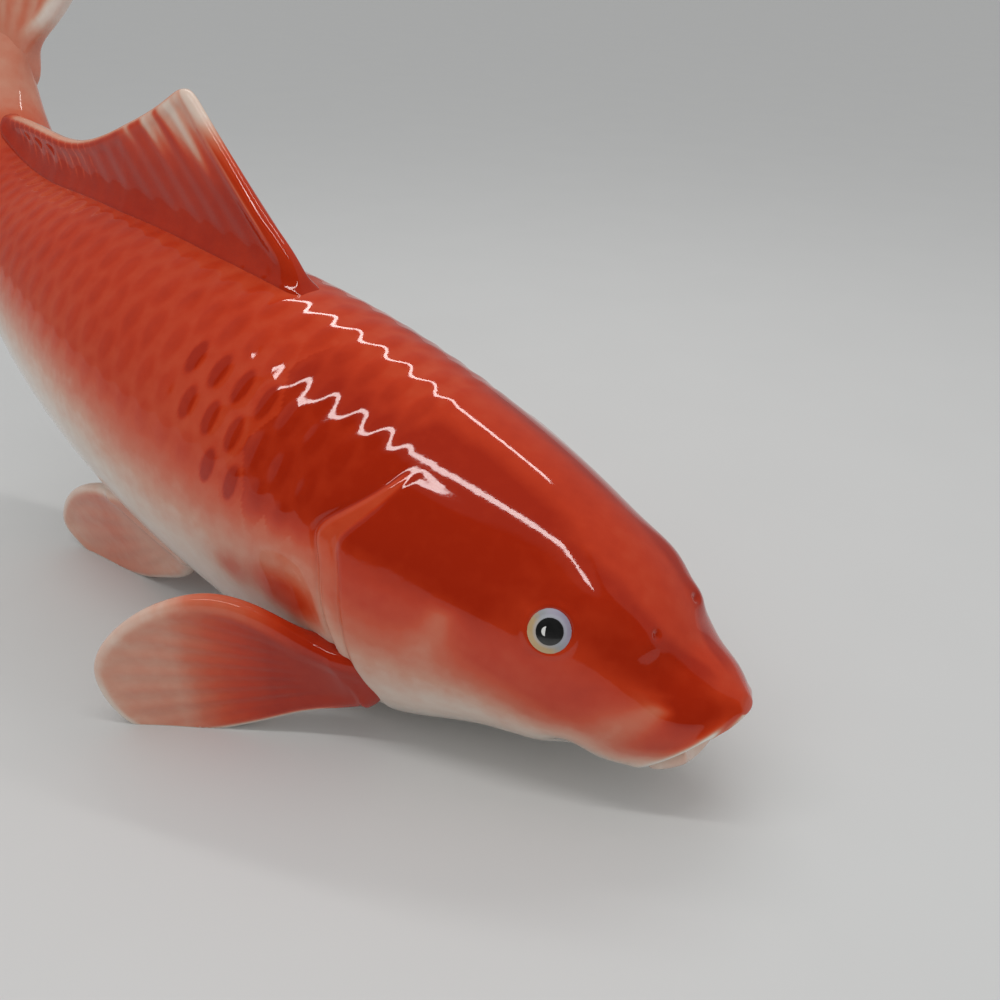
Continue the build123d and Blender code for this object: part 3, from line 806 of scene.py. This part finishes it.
def build_pectoral(tree):
    fin = paired_fin(tree, *PECTORAL_SEAT)
    outline = closed_outline(PECTORAL_OUTLINE, PECTORAL_LENGTH, PECTORAL_HEIGHT)

    def ribs(x, y, edge, gaps):
        spoke, reach = fan(x, y, *PECTORAL_FAN)
        inner = ease(edge, 2.0, 5.0) * ease(gaps, 2.0, 8.0)
        return 0.10 * np.cos(2 * np.pi * PECTORAL_RAYS * spoke) * inner - 0.35 * ease(edge, 1.8, 5.0)

    points, faces, x, y, edge, gaps = blade_points(
        fin, outline, PECTORAL_LENGTH, (4.8, 2.4), -1.0, ribs, tree)
    spoke, reach = fan(x, y, *PECTORAL_FAN)
    streak = np.cos(2 * np.pi * PECTORAL_RAYS * spoke + 0.6 * np.sin(9 * spoke)) * ease(reach, 22, 40)
    out = x / PECTORAL_LENGTH
    tone = np.interp(out, (0, 0.28, 0.46, 0.66, 1.0), (1.0, 0.98, 0.74, 0.37, 0.31))
    tone = tone + 0.015 * streak
    lower = (1 - ease(edge, 0.7, 2.3)) * ease(-y / PECTORAL_HEIGHT, 0.05, 0.2)
    tone = mix(tone, 0.05, lower * ease(out, -0.02, 0.12))
    tip = (1 - ease(edge, 0.6, 2.4)) * ease(out, 0.45, 0.80)
    tone = mix(tone, 0.18, 0.7 * tip)
    rolled = (1 - ease(edge, 1.6, 3.4)) * ease(y / PECTORAL_HEIGHT, 0.05, 0.2) * ease(out, 0.12, 0.4)
    tone = mix(tone, np.minimum(tone, mix(0.62, 0.36, out)), 0.8 * rolled)
    tone = tone + 0.03 * waves(points, 11, 12.0)
    return finish_pair("pectoral", points, faces, tone)


def build_pelvic(tree):
    fin = paired_fin(tree, *PELVIC_SEAT)
    outline = closed_outline(PELVIC_OUTLINE, PELVIC_LENGTH, PELVIC_HEIGHT)

    def ribs(x, y, edge, gaps):
        spoke, reach = fan(x, y, *PELVIC_FAN)
        inner = ease(edge, 2.0, 5.0) * ease(gaps, 2.0, 8.0)
        return 0.08 * np.cos(2 * np.pi * PELVIC_RAYS * spoke) * inner - 0.25 * ease(edge, 1.8, 4.5)

    points, faces, x, y, edge, gaps = blade_points(
        fin, outline, PELVIC_LENGTH, (4.2, 2.2), -0.5, ribs, tree)
    out = x / PELVIC_LENGTH
    tone = np.interp(out, (-0.1, 0.2, 0.5, 0.8, 1.0), (0.26, 0.36, 0.45, 0.38, 0.28))
    rim = 1 - ease(edge, 0.5, 2.2)
    tone = mix(tone, 0.14, 0.85 * rim)
    tone = tone + 0.03 * waves(points, 12, 12.0)
    return finish_pair("pelvic", points, faces, tone)


def build_tail(tree):
    root = CENTRES[-1] + TO_HEAD[-1] * TAIL_SETBACK
    fin = Fin(root, -TO_HEAD[-1], np.cross(LEFT[-1], -TO_HEAD[-1]))
    outline = closed_outline(TAIL_OUTLINE, TAIL_LENGTH, TAIL_SPAN, 520)

    def ribs(x, y, edge, gaps):
        spoke, reach = fan(x, y, *TAIL_FAN)
        inner = ease(edge, 1.6, 4.5) * ease(gaps, 1.0, 7.0)
        hollow = 0.30 * ease(edge, 1.8, 4.5) * ease(gaps, 1, 6)
        return 0.16 * np.cos(2 * np.pi * TAIL_RAYS * spoke) * inner - hollow

    points, faces, x, y, edge, gaps = blade_points(
        fin, outline, TAIL_LENGTH, (5.6, 2.2), -TAIL_BOW, ribs, tree)
    spoke, reach = fan(x, y, *TAIL_FAN)
    out = x / TAIL_LENGTH
    tone = np.interp(out, (-0.1, 0.15, 0.4, 0.8, 1.0), (0.44, 0.42, 0.38, 0.30, 0.24))
    tone = tone + 0.06 * np.cos(2 * np.pi * TAIL_RAYS * spoke) * ease(reach, 26, 40)
    band = (1 - ease(edge, 1.8, 4.2)) * ease(x, 4, 10)
    tone = mix(tone, 0.06, band)
    return finish_fin("koi_tail", "tail_fin", points, faces, tone)


def build_anal(tree):
    index = int(np.searchsorted(SECTION_SHARES[:, 0], ANAL_PLACE_SHARE, side="right") - 1)
    along = unit(CENTRES[index + 1] - CENTRES[index])
    to_left = unit(np.cross(along, (0, 0, 1)))
    down = np.cross(along, to_left)
    seat = cast(tree, spine_point(ANAL_PLACE_SHARE) + down * 100, -down)[0]
    fin = Fin(seat, along, down)
    outline = closed_outline(ANAL_OUTLINE, ANAL_LENGTH, ANAL_HEIGHT, 300)

    def ribs(x, y, edge, gaps):
        spoke, reach = fan(x, y, *ANAL_FAN)
        return 0.08 * np.cos(2 * np.pi * ANAL_RAYS * spoke) * ease(edge, 1.2, 3.0) * ease(gaps, 1.0, 4.0)

    points, faces, x, y, edge, gaps = blade_points(
        fin, outline, ANAL_LENGTH, (3.4, 1.9), 0.0, ribs, tree)
    tone = np.interp(y / ANAL_HEIGHT, (0, 0.3, 0.7, 1.0), (0.45, 0.42, 0.30, 0.18))
    tone = mix(tone, 0.06, (1 - ease(edge, 1.0, 2.6)) * ease(y, 2, 5))
    return finish_fin("koi_anal", "anal_fin", points, faces, tone)


def top_of_back(tree, place):
    centre = spine_point(place)
    hit, normal = cast(tree, centre + np.array((0, 0, 120.0)), np.array((0, 0, -1.0)))
    return hit[2]


def dorsal_outline(tree):
    """Corners of the free edge in the side view, and the fin's evenly spaced outline."""
    edge_line = np.array([(SNOUT_X - place * TRUNK_REACH, top_of_back(tree, place) + rise * DORSAL_HEIGHT)
                          for place, rise in DORSAL_EDGE])
    knots = run_lengths(edge_line)
    free = spline_weights(knots, np.linspace(0, knots[-1], 300)) @ edge_line
    root_places = np.linspace(DORSAL_EDGE[-1][0], DORSAL_EDGE[0][0], 60)
    root = np.array([(SNOUT_X - p * TRUNK_REACH, top_of_back(tree, p) - DORSAL_SINK) for p in root_places])
    return edge_line, even_loop(np.vstack((free, root)), 560)


def dorsal_tone(points, places, highs, edges, rays, offs):
    """Deep red root, darkened as painted shade at the foot, to a pale streaked tip; dark web and spine in
    front; pale rim.
    """
    rise = np.clip(highs / DORSAL_HEIGHT, 0, 1.2)
    wander = 0.13 * np.cos(2 * np.pi * 9 * rays) + 0.05 * np.cos(2 * np.pi * 23 * rays + 1.0)
    height = rise + wander * ease(rise, 0.3, 0.7)
    # deep red glaze toward the root; its lowest stops are darkened further as painted shade of the fin's
    # foot
    tone = np.interp(height, (0, 0.38, 0.55, 0.72, 0.95), (0.97, 0.94, 0.82, 0.36, 0.12))
    hair = ease(np.cos(2 * np.pi * 33 * rays), 0.72, 1.0) * ease(places, 0.70, 0.76)
    tone = tone - 0.28 * hair * ease(rise, 0.06, 0.16)
    web = (1 - ease(offs, 5.0, 10.0)) * (1 - ease(highs, 8.0, 17.0))
    tone = mix(tone, 0.97, 0.8 * web)
    leading = (1 - ease(offs, 1.5, 2.2)) * ease(highs, 1.0, 5.0)
    tone = mix(tone, mix(0.84, 0.15, ease(rise, 0.62, 0.90)), 0.8 * leading)
    line = np.exp(-((offs - 1.9) / 0.30) ** 2) * ease(highs, 4.0, 8.0)
    tone = mix(tone, 0.34, 0.7 * line)
    rim = (1 - ease(edges, 0.2, 1.0)) * ease(highs, 2.0, 5.0) * ease(offs, 1.5, 3.0)
    return mix(tone, 0.30, rim) + 0.03 * waves(points, 13, 14.0)


def build_dorsal(tree):
    edge_line, outline = dorsal_outline(tree)
    flat, faces, edge = flat_mesh(outline)
    x, z = flat[:, 0], flat[:, 1]
    places = (SNOUT_X - x) / TRUNK_REACH
    back_places = np.linspace(0.40, 0.96, 57)
    back_heights = np.array([top_of_back(tree, p) for p in back_places])
    spine_y = np.interp(places, SECTION_SHARES[:, 0], CENTRES[:, 1])
    high = z - np.interp(places, back_places, back_heights)
    half = mix(*DORSAL_THICKNESS, np.clip((high + 5) / 45, 0, 1)) / 2
    # leading spine, a rod along the front edge
    foot, tip = edge_line[2], edge_line[5]
    lead = unit(tip - foot)
    offset = (flat - foot) @ np.array((-lead[1], lead[0]))
    climb = ((flat - foot) @ lead) / np.linalg.norm(tip - foot)
    radius = mix(*DORSAL_SPINE_RADII, np.clip(climb, 0, 1))
    rod = np.sqrt(np.clip(radius ** 2 - (offset - radius) ** 2, 0, None))
    leaning = places * TRUNK_REACH - high * (1.05 - 0.4 * ease(places, 0.6, 0.9))
    ray = leaning / TRUNK_REACH * 2.07
    inner = ease(edge, 1.2, 3.5) * ease(high, 1.0, 5.0)
    ribs = 0.07 * np.cos(2 * np.pi * 15 * ray + 1.2 * np.sin(7 * ray)) * inner
    front = half * rim_profile(edge, 1.5 * half) + ribs - 0.35 * inner
    front = front + flare(np.clip(high, 0, None), 1.5, 1.4)
    front = np.maximum(front, rod * ease(edge, 0, 0.5))
    index, heights, all_faces = two_sided(faces, front, edge)
    points = np.stack((x, spine_y, z), axis=1)[index] + heights[:, None] * np.array((0, -1, 0))
    tone = dorsal_tone(points, places[index], high[index], edge[index], ray[index], offset[index])
    flipped = [tuple(reversed(face)) for face in all_faces]
    return finish_fin("koi_dorsal", "dorsal_fin", points, flipped, tone)


# Materials

def fill_inputs(tree, node, inputs):
    """Gives a node's inputs a constant or another node's output each."""
    for key, value in inputs.items():
        if isinstance(value, bpy.types.NodeSocket):
            tree.links.new(value, node.inputs[key])
        else:
            node.inputs[key].default_value = value


def add_node(tree, kind, **inputs):
    node = tree.nodes.new("ShaderNode" + kind)
    fill_inputs(tree, node, inputs)
    return node


def node_noise(tree, scale, detail=2, distortion=0):
    """Noise over the object's own coordinates."""
    place = add_node(tree, "TexCoord").outputs["Object"]
    noise = add_node(tree, "TexNoise", Vector=place, Scale=scale, Detail=detail, Distortion=distortion)
    return noise.outputs["Fac"]


def node_ramp(tree, value, stops):
    """Colours between (position, colour) stops."""
    ramp = add_node(tree, "ValToRGB", Fac=value)
    elements = ramp.color_ramp.elements
    while len(elements) < len(stops):
        elements.new(0.5)
    for element, (position, colour) in zip(elements, stops):
        element.position = position
        element.color = (*colour, 1)
    return ramp.outputs["Color"]


def node_blend(tree, share, first, colour):
    blend = tree.nodes.new("ShaderNodeMix")
    blend.data_type = "RGBA"
    fill_inputs(tree, blend, {"Factor": share, "A": first, "B": (*colour, 1)})
    return blend.outputs["Result"]


def node_math(tree, operation, *values):
    step = tree.nodes.new("ShaderNodeMath")
    step.operation = operation
    fill_inputs(tree, step, dict(enumerate(values)))
    return step.outputs[0]


def node_vector(tree, operation, *values):
    step = tree.nodes.new("ShaderNodeVectorMath")
    step.operation = operation
    fill_inputs(tree, step, dict(enumerate(values)))
    return step.outputs["Value" if operation in ("DOT_PRODUCT", "LENGTH") else "Vector"]


def node_ease(tree, value, low, high, start=0.0, end=1.0):
    step = tree.nodes.new("ShaderNodeMapRange")
    step.interpolation_type = "SMOOTHSTEP"
    fill_inputs(tree, step, {"Value": value, "From Min": low, "From Max": high,
                             "To Min": start, "To Max": end})
    return step.outputs["Result"]


def node_attribute(tree, name):
    attribute = tree.nodes.new("ShaderNodeAttribute")
    attribute.attribute_name = name
    return attribute.outputs["Fac"]


def new_material(name):
    material = bpy.data.materials.new(name)
    material.use_nodes = True
    return material, material.node_tree, material.node_tree.nodes["Principled BSDF"]


GLAZE_TONES = (
    (0.00, (0.77, 0.73, 0.67)),
    (0.15, (0.70, 0.56, 0.47)),
    (0.32, (0.64, 0.32, 0.225)),
    (0.50, (0.59, 0.148, 0.080)),
    (0.66, (0.57, 0.076, 0.028)),
    (0.82, (0.50, 0.038, 0.009)),
    (1.00, (0.36, 0.018, 0.003)),
)
BARE_CLAY = (0.72, 0.68, 0.61)      # unglazed ground of the foot and of the fins' flat edges


MOTTLE_SCALE = 420
MOTTLE_REACH = 0.10
RIPPLE_SCALE = 260
RIPPLE_HEIGHT = 0.0001


def glaze_material(name, seed):
    """Clear coat over the painted tone, and bare clay where the glaze is wiped off."""
    material, tree, shader = new_material(name)
    mottle = node_noise(tree, MOTTLE_SCALE, 4, seed * 0.1)
    centred = node_math(tree, "MULTIPLY_ADD", mottle, MOTTLE_REACH, -MOTTLE_REACH / 2)
    bare = node_attribute(tree, "bare")
    glaze = node_ramp(tree, node_math(tree, "ADD", node_attribute(tree, "tone"), centred), GLAZE_TONES)
    ripple = node_noise(tree, RIPPLE_SCALE, 3)
    bump = add_node(tree, "Bump", Strength=0.25, Distance=RIPPLE_HEIGHT, Height=ripple)
    fill_inputs(tree, shader, {
        "Base Color": node_blend(tree, bare, glaze, BARE_CLAY), "Roughness": 0.45, "Specular IOR Level": 0.0,
        "Coat Weight": node_math(tree, "SUBTRACT", 1.0, bare), "Coat Roughness": 0.055, "Coat IOR": 1.5,
        "Normal": bump.outputs["Normal"], "Coat Normal": bump.outputs["Normal"]})
    return material


ENAMEL_SCALE = 700


def enamel_material(name, light, dark):
    material, tree, shader = new_material(name)
    colour = node_ramp(tree, node_noise(tree, ENAMEL_SCALE, 3), ((0.35, dark), (0.65, light)))
    fill_inputs(tree, shader, {"Base Color": colour, "Roughness": 0.3,
                               "Coat Weight": 1.0, "Coat Roughness": 0.03})
    return material


IRIS_CREAM = (0.50, 0.35, 0.17)
IRIS_GREY = (0.30, 0.31, 0.33)
IRIS_LAVENDER = (0.34, 0.31, 0.40)
IRIS_PALE = (0.50, 0.53, 0.58)
IRIS_RADIUS = 3.6


IRIS_STOPS = ((0.30, IRIS_CREAM), (0.62, IRIS_GREY), (0.95, IRIS_LAVENDER))


def iris_material(name, side):
    """Enamel shaded across the iris from cream low behind to lavender high in front, paler by the pupil."""
    material, tree, shader = new_material(name)
    outward = 1 if side == "left" else -1
    shade = unit(np.array((0.72, -0.10 * outward, 0.62)))
    reach = IRIS_RADIUS * MM
    place = add_node(tree, "TexCoord").outputs["Object"]
    arm = node_vector(tree, "SUBTRACT", place, tuple(eye_place(side) * MM))
    slide = node_ease(tree, node_vector(tree, "DOT_PRODUCT", arm, tuple(shade)), -reach, reach)
    grain = node_math(tree, "MULTIPLY", node_noise(tree, 1600), 0.30)
    ground = node_ramp(tree, node_math(tree, "ADD", slide, grain), IRIS_STOPS)
    near = node_ease(tree, node_vector(tree, "LENGTH", arm), 0.64 * reach, 0.84 * reach, 0.55, 0.0)
    fill_inputs(tree, shader, {"Base Color": node_blend(tree, near, ground, IRIS_PALE), "Roughness": 0.35,
                               "Coat Weight": 1.0, "Coat Roughness": 0.04})
    return material


GLINT_REACH = 1.0           # from the pupil's centre to the crescent's middle line
GLINT_HALF_WIDTH = 0.32
GLINT_START_ANGLE = 140
GLINT_END_ANGLE = 238
GLINT_HEIGHT = 0.08
GLINT_LIFT = 0.02


def build_glints():
    """White enamel crescent, a painted highlight, on the lower rear part of each pupil."""
    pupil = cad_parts["eye_pupil_right"]
    corners = np.array([pupil.matrix_world @ v.co for v in pupil.data.vertices]) / MM
    centre = corners.mean(axis=0)
    spread, axes = np.linalg.eigh(np.cov((corners - centre).T))
    outward = axes[:, 0] * (-1 if axes[1, 0] > 0 else 1)
    ahead = unit(np.array((1.0, 0, 0)) - outward[0] * outward)
    upward = np.cross(ahead, -outward)
    upward = upward * np.sign(upward[2])
    tree = BVHTree.FromObject(pupil, bpy.context.evaluated_depsgraph_get())
    count, around = 25, 12
    shares = np.linspace(0, 1, count)
    angles = np.radians(mix(GLINT_START_ANGLE, GLINT_END_ANGLE, shares))
    widths = GLINT_HALF_WIDTH * np.sin(np.pi * np.clip(shares, 0.01, 0.99)) ** 0.8
    turns = 2 * np.pi * np.arange(around) / around
    points = np.zeros((count, around, 3))
    for i in range(count):
        for j in range(around):
            reach = GLINT_REACH + widths[i] * math.cos(turns[j])
            flat = reach * (math.cos(angles[i]) * ahead + math.sin(angles[i]) * upward)
            spot = cast(tree, centre + flat + 5 * outward, -outward)[0]
            height = GLINT_HEIGHT * math.sin(turns[j]) * widths[i] / GLINT_HALF_WIDTH
            points[i, j] = spot + outward * (GLINT_LIFT + height)
    faces = grid_faces(count, around)
    faces += [list(range(around)), [(count - 1) * around + j for j in reversed(range(around))]]
    glints = []
    for side, sign in (("right", 1), ("left", -1)):
        turned = [face[::sign] for face in faces]
        glints.append(add_piece("koi_glint_" + side, "eye_glint_" + side,
                                points.reshape(-1, 3) * np.array((1, sign, 1)), turned))
    return glints


def dress_eyes():
    black = enamel_material("black_enamel_glaze", (0.012, 0.012, 0.012), (0.006, 0.006, 0.006))
    white = enamel_material("white_enamel_glaze", (0.82, 0.82, 0.80), (0.74, 0.74, 0.72))
    for side in ("right", "left"):
        iris = iris_material("iris_enamel_" + side, side)
        for part, material in (("eye_iris_", iris), ("eye_pupil_", black)):
            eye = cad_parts[part + side]
            eye.data.materials.clear()
            eye.data.materials.append(material)
    # white crescents painted as the eyes' highlights
    for glint in build_glints():
        glint.data.materials.append(white)


# Stage

FLOOR_SIZE = 6000.0
FLOOR_TONES = ((0.0, (0.615, 0.623, 0.620)), (1.0, (0.635, 0.643, 0.640)))


def floor_material():
    material, tree, shader = new_material("studio_floor")
    colour = node_ramp(tree, node_noise(tree, 30), FLOOR_TONES)
    fill_inputs(tree, shader, {"Base Color": colour, "Roughness": 0.6})
    return material


def build_floor():
    steps = np.linspace(-FLOOR_SIZE / 2, FLOOR_SIZE / 2, 25)
    points = np.array([(x, y, 0) for x in steps for y in steps])
    count = len(steps)
    faces = [(i * count + j, (i + 1) * count + j, (i + 1) * count + j + 1, i * count + j + 1)
             for i in range(count - 1) for j in range(count - 1)]
    floor = make_object("studio_floor", points, faces)
    floor.data.materials.append(floor_material())


CAMERA_PLACE = Vector((0.17693, -0.13964, 0.13354))    # metres
CAMERA_AZIMUTH = 34.97
CAMERA_ELEVATION = 27.6
CAMERA_ROLL = 1.31
LENS = 39.6
SENSOR = 36.0


def build_camera():
    azimuth, elevation, roll = [math.radians(a) for a in (CAMERA_AZIMUTH, CAMERA_ELEVATION, CAMERA_ROLL)]
    back = Vector((math.sin(azimuth) * math.cos(elevation), -math.cos(azimuth) * math.cos(elevation),
                   math.sin(elevation)))
    right = Vector((math.cos(azimuth), math.sin(azimuth), 0))
    up = back.cross(right)
    turned_right = right * math.cos(roll) + up * math.sin(roll)
    turned_up = up * math.cos(roll) - right * math.sin(roll)
    data = bpy.data.cameras.new("photo_camera")
    data.lens = LENS
    data.sensor_width = SENSOR
    data.clip_start = 0.005
    camera = bpy.data.objects.new("photo_camera", data)
    axes = Matrix((turned_right, turned_up, back)).transposed().to_4x4()
    camera.matrix_world = Matrix.Translation(CAMERA_PLACE) @ axes
    bpy.context.scene.collection.objects.link(camera)
    bpy.context.scene.camera = camera


STRIP_HEIGHT = 350.0
STRIP_WIDTH = 20.0
STRIP_COLOUR = (1.0, 0.985, 0.97)


def build_strip(name, start, end, glow):
    """Line of lamps under the tent's ceiling between two (x, y), glow times as bright as white."""
    run = np.array(end) - np.array(start)
    data = bpy.data.lights.new(name, "AREA")
    data.shape = "RECTANGLE"
    data.size = float(np.hypot(*run)) * MM
    data.size_y = STRIP_WIDTH * MM
    data.energy = glow * math.pi * data.size * data.size_y
    data.color = STRIP_COLOUR
    lamp = bpy.data.objects.new(name, data)
    lamp.location = Vector(((start[0] + end[0]) / 2, (start[1] + end[1]) / 2, STRIP_HEIGHT)) * MM
    lamp.rotation_euler = (0, 0, math.atan2(run[1], run[0]))
    bpy.context.scene.collection.objects.link(lamp)


OPENING_AZIMUTH = -51.0      # the front of the light tent, dark, as the glaze mirrors it
OPENING_HALF_ANGLE = 74.0
OPENING_TOP_ANGLE = 62.0
OPENING_SIDE_BLUR = 0.03
OPENING_TOP_BLUR = 0.02
CEILING_START = 0.75         # upward part of the ray's direction
CEILING_FULL = 0.95
TENT_WALL = 0.23
TENT_CEILING = 0.16
TENT_DARK = 0.03
SOFT_LIGHT = 0.68           # even light of the tent's cloth on matt surfaces


def build_world():
    """A light tent: pale walls, a greyer ceiling and a dark opening on the camera's side."""
    world = bpy.data.worlds.new("studio_world")
    bpy.context.scene.world = world
    world.use_nodes = True
    tree = world.node_tree
    way = add_node(tree, "TexCoord").outputs["Generated"]
    height = add_node(tree, "SeparateXYZ", Vector=way).outputs["Z"]
    heading = node_vector(tree, "NORMALIZE", node_vector(tree, "MULTIPLY", way, (1, 1, 0)))
    azimuth = math.radians(OPENING_AZIMUTH)
    facing = node_vector(tree, "DOT_PRODUCT", heading, (math.cos(azimuth), math.sin(azimuth), 0))
    side = math.cos(math.radians(OPENING_HALF_ANGLE))
    top = math.sin(math.radians(OPENING_TOP_ANGLE))
    within = node_ease(tree, facing, side - OPENING_SIDE_BLUR, side + OPENING_SIDE_BLUR)
    under = node_ease(tree, height, top - OPENING_TOP_BLUR, top + OPENING_TOP_BLUR, 1.0, 0.0)
    opening = node_math(tree, "MULTIPLY", within, under)
    wall = node_ease(tree, height, CEILING_START, CEILING_FULL, TENT_WALL, TENT_CEILING)
    lit = node_math(tree, "MULTIPLY", wall, node_math(tree, "SUBTRACT", 1.0, opening))
    mirrored = node_math(tree, "ADD", lit, node_math(tree, "MULTIPLY", opening, TENT_DARK))
    glossy = add_node(tree, "LightPath").outputs["Is Glossy Ray"]
    seen = node_math(tree, "MULTIPLY", mirrored, glossy)
    soft = node_math(tree, "MULTIPLY", node_math(tree, "SUBTRACT", 1.0, glossy), SOFT_LIGHT)
    light = node_math(tree, "ADD", seen, soft)
    fill_inputs(tree, tree.nodes["Background"], {"Color": light, "Strength": 1.0})


# Assembly

body = build_body()
body.data.materials.append(glaze_material("body_glaze", 1))
skin_tree = BVHTree.FromObject(body, bpy.context.evaluated_depsgraph_get())
fin_glaze = glaze_material("fin_glaze_coat", 2)
fins = [*build_pectoral(skin_tree), *build_pelvic(skin_tree), build_tail(skin_tree),
        build_anal(skin_tree), build_dorsal(skin_tree)]
for fin in fins:
    fin.data.materials.append(fin_glaze)
dress_eyes()
build_floor()
build_camera()
build_strip("strip_back", (-165.0, 132.0), (150.0, 216.0), 11.5)
build_strip("strip_front", (-95.0, -208.0), (238.0, -33.0), 13.0)
build_world()
bpy.context.scene.view_settings.view_transform = "Standard"
